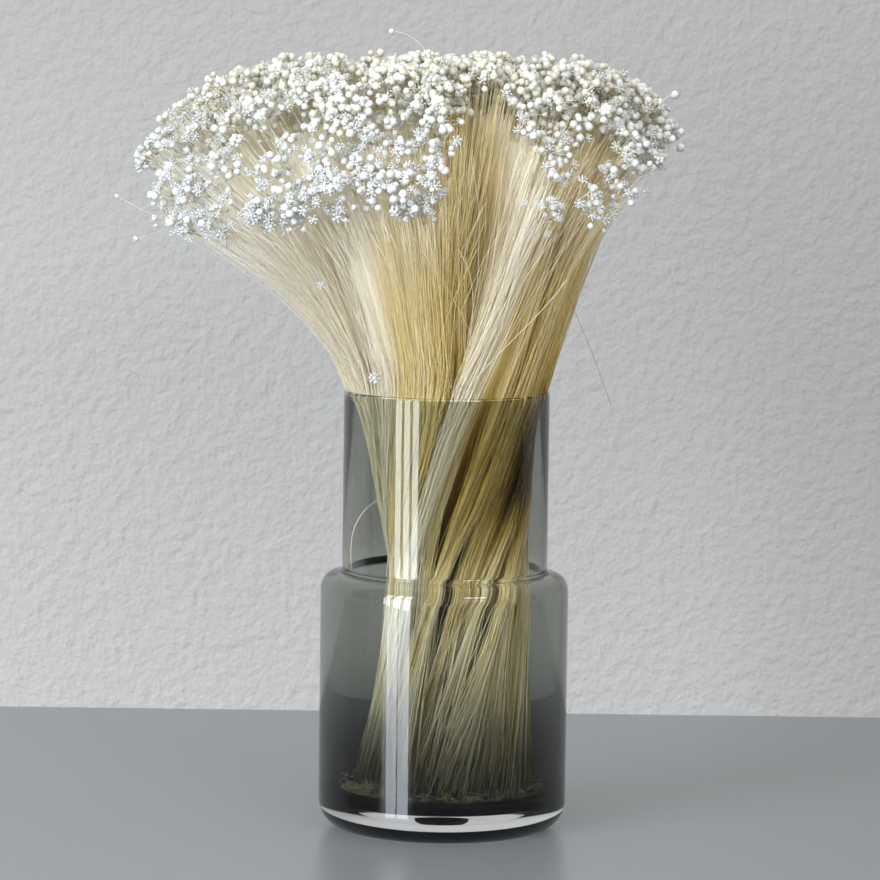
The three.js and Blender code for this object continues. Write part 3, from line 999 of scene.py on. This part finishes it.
def make_stalks(spray, stalks, stems, section, material):
    """The stalks of the heads, of two places each, and the tufts' stems, of three."""
    paths = stalks + stems
    mesh = tubes("stalks_" + spray, paths, [STALK_RADIUS] * len(paths), section)
    stalk_tint = np.repeat(rng.normal(0.85, 0.12, len(stalks)), 6)
    stem_tint = np.repeat(rng.normal(0.72, 0.1, len(stems)), 9)
    paint(mesh, "tint", np.concatenate([stalk_tint, stem_tint]))
    dress(new_object("stalks_" + spray, mesh, material), "spray_" + spray)


# Finishes of the bunch
STRAW = [
    (0.0, (0.10, 0.06, 0.02)),
    (0.12, (0.46, 0.29, 0.05)),
    (0.3, (0.80, 0.61, 0.20)),
    (0.5, (0.91, 0.77, 0.40)),
    (0.75, (0.97, 0.88, 0.64)),
    (1.0, (0.98, 0.92, 0.78)),
]
HEART_SHADE = [
    (0.2, (0.05, 0.04, 0.02)),
    (0.34, (0.18, 0.14, 0.07)),
    (0.5, (0.58, 0.44, 0.2)),
    (0.62, (1, 1, 1)),
]
HEAD_FOOT_SHADE = [(0.0, (0.88, 0.86, 0.78)), (0.25, (1, 1, 1))]


def straw_finish():
    finish = Finish("straw")
    finish.link(finish.ramp(finish.number("tint"), STRAW), finish.shader.inputs["Base Color"])
    finish.set(Roughness=0.5, Specular_IOR_Level=0.25)
    return finish.material


def heart_finish():
    """The deeper stems: fine lines along them, in the tint of the stems in front, and darker in the vase as
    painted shade.
    """
    finish = Finish("straw_heart")
    grain = finish.add("ShaderNodeAttribute", attribute_name="grain").outputs["Vector"]
    mapping = finish.add("ShaderNodeMapping")
    mapping.inputs["Scale"].default_value = (34, 34, 4)
    finish.link(grain, mapping.inputs["Vector"])
    lines = finish.noise(1.6, 5, mapping.outputs["Vector"])
    streak = finish.remap(lines, 0.3, 0.7, -0.16, 0.16)
    colour = finish.ramp(finish.plus(finish.number("tint"), streak), STRAW)
    shade = finish.ramp(finish.number("rise"), HEART_SHADE)
    finish.link(finish.times(colour, shade), finish.shader.inputs["Base Color"])
    finish.set(Roughness=0.7, Specular_IOR_Level=0.1)
    finish.bump(lines, 0.0005)
    return finish.material


def petal_finish():
    finish = Finish("papery_petals")
    colour = finish.ramp(finish.number("tint"), PETAL)
    foot = finish.ramp(finish.number("height"), HEAD_FOOT_SHADE)
    finish.link(finish.times(colour, foot), finish.shader.inputs["Base Color"])
    finish.set(Roughness=0.7)
    finish.bump(finish.noise(1400, 2), 0.0003, 0.6)
    return finish.material


# Room, in metres
WALL_Y = 0.332
ROOM_WIDTH = 8
ROOM_DEPTH = 5
WALL_HEIGHT = 4
GROUND_COLOUR = (0.27, 0.285, 0.297)
# painted light: the wall is lighter near the floor and darker higher up
WALL_PAINTED_LIGHT = [(0.0, (0.535, 0.525, 0.52)), (0.42, (0.37, 0.365, 0.35))]


def sheet(width, depth):
    """A flat rectangle round the origin."""
    bm = bmesh.new()
    bmesh.ops.create_grid(bm, x_segments=1, y_segments=1, size=0.5)
    bmesh.ops.scale(bm, vec=(width, depth, 1), verts=bm.verts)
    return bm


def make_room():
    ground = Finish("floor")
    ground.set(Base_Color=(*GROUND_COLOUR, 1), Roughness=0.3)
    ground.bump(ground.noise(60, 3), 0.0002, 0.3)
    bm = sheet(ROOM_WIDTH, ROOM_DEPTH)
    bmesh.ops.translate(bm, vec=(0, WALL_Y - ROOM_DEPTH / 2, 0), verts=bm.verts)
    floor = new_object("floor", mesh_from(bm, "floor", False), ground.material)

    plaster = Finish("wall")
    # painted light: the wall darkens with height
    shade = plaster.ramp(plaster.height(), WALL_PAINTED_LIGHT)
    plaster.link(shade, plaster.shader.inputs["Base Color"])
    plaster.set(Roughness=0.9)
    plaster.bump(plaster.noise(200, 5), 0.0019, 0.9)
    # seen only from the room's side
    clear = plaster.add("ShaderNodeBsdfTransparent")
    plaster.mix_in(plaster.add("ShaderNodeNewGeometry").outputs["Backfacing"], clear)
    bm = sheet(ROOM_WIDTH, WALL_HEIGHT)
    bmesh.ops.rotate(bm, cent=(0, 0, 0), matrix=Matrix.Rotation(math.pi / 2, 3, "X"), verts=bm.verts)
    bmesh.ops.translate(bm, vec=(0, WALL_Y, WALL_HEIGHT / 2), verts=bm.verts)
    wall = new_object("wall", mesh_from(bm, "wall", False), plaster.material)


# Light, in metres and watts
WORLD_LIGHT = 0.5
WORLD_COLOUR = (0.95, 0.97, 1.0)
WINDOW_AWAY = 2.1
WINDOW_Z = 0.72
PANES = (34, 44, 54)
PANE_SIZE = (0.26, 1.5)
PANE_POWER = 13
DAYLIGHT = (0.88, 0.94, 1.0)
FILL_POWER = 40
FILL_COLOUR = (1.0, 0.985, 0.96)
OVERHEAD_POWER = 6
OVERHEAD_COLOUR = (1.0, 0.98, 0.95)
LAMP_POWER = 3

# Two low strips close to the vase give the window's reflection in its body
STRIP_PLACE = Vector((-0.0305, -0.076, 0.058))
STRIP_STEP = Vector((0.0115, -0.0053, 0))
STRIP_STEPS = (-1.2, -0.3)
STRIP_AIM = (-0.0154, -0.0528, 0.058)
STRIP_SIZE = (0.0098, 0.112)
STRIP_POWER = 0.022
STRIP_COLOUR = (0.82, 0.88, 1.0)


def add_light(name, place, target, size, power, colour):
    """A rectangular light that faces a target."""
    data = bpy.data.lights.new(name, "AREA")
    data.shape = "RECTANGLE"
    data.size, data.size_y = size
    data.energy = power
    data.color = colour
    light = bpy.data.objects.new(name, data)
    light.location = place
    aim = Vector(target) - Vector(place)
    light.rotation_euler = aim.to_track_quat("-Z", "Y").to_euler()
    bpy.context.scene.collection.objects.link(light)
    return light


def make_light():
    world = bpy.data.worlds.new("room_light")
    bpy.context.scene.world = world
    world.use_nodes = True
    background = world.node_tree.nodes["Background"]
    background.inputs["Color"].default_value = (*WORLD_COLOUR, 1)
    background.inputs["Strength"].default_value = WORLD_LIGHT
    for i, bearing in enumerate(PANES):
        angle = math.radians(bearing)
        place = (-WINDOW_AWAY * math.sin(angle), -WINDOW_AWAY * math.cos(angle), WINDOW_Z)
        add_light(f"window_{i}", place, (0, 0, 0.5), PANE_SIZE, PANE_POWER, DAYLIGHT)
    fill = add_light("fill", (-0.6, -2.45, 1.3), (0, 0, 0.25), (3.4, 2.4), FILL_POWER, FILL_COLOUR)
    above = (-0.2, -0.6, 2.0)
    overhead = add_light("overhead", above, (0, 0, 0.2), (2.2, 2.2), OVERHEAD_POWER, OVERHEAD_COLOUR)
    add_light("lamp", (0.55, -0.95, 0.8), (0, 0, 0.12), (0.45, 0.2), LAMP_POWER, (1.0, 1.0, 1.0))
    # the soft lights and the room's own light would lie on the glass as a grey veil
    world.cycles_visibility.glossy = False
    fill.visible_glossy = False
    overhead.visible_glossy = False
    for i, step in enumerate(STRIP_STEPS):
        place = STRIP_PLACE + step * STRIP_STEP
        strip = add_light(f"low_pane_{i}", place, STRIP_AIM, STRIP_SIZE, STRIP_POWER, STRIP_COLOUR)
        strip.visible_diffuse = False
        strip.visible_transmission = False


def make_bunch():
    section = triangle_profile()
    crumbs = dict(zip(SPRAYS, np.split(crumb_paths(), len(SPRAYS))))
    straw, heart, petal = straw_finish(), heart_finish(), petal_finish()
    shapes = {
        "bud": bud_shape(),
        "opening": opening_shape(),
        "star": star_shape(),
        "cluster": cluster_shape(),
    }
    crown = sum(high - low for low, high in SPRAYS.values())
    for spray, (low, high) in SPRAYS.items():
        make_core(spray, heart)
        make_stems(spray, crumbs[spray], section, straw)
        heads = round(HEADS * ((high - low) / crown) * HEAD_WEIGHT.get(spray, 1))
        make_heads(spray, heads, shapes, section, petal, straw)


make_camera()
make_room()
make_light()
make_vase()
make_bunch()
bpy.context.scene.view_settings.view_transform = "Standard"
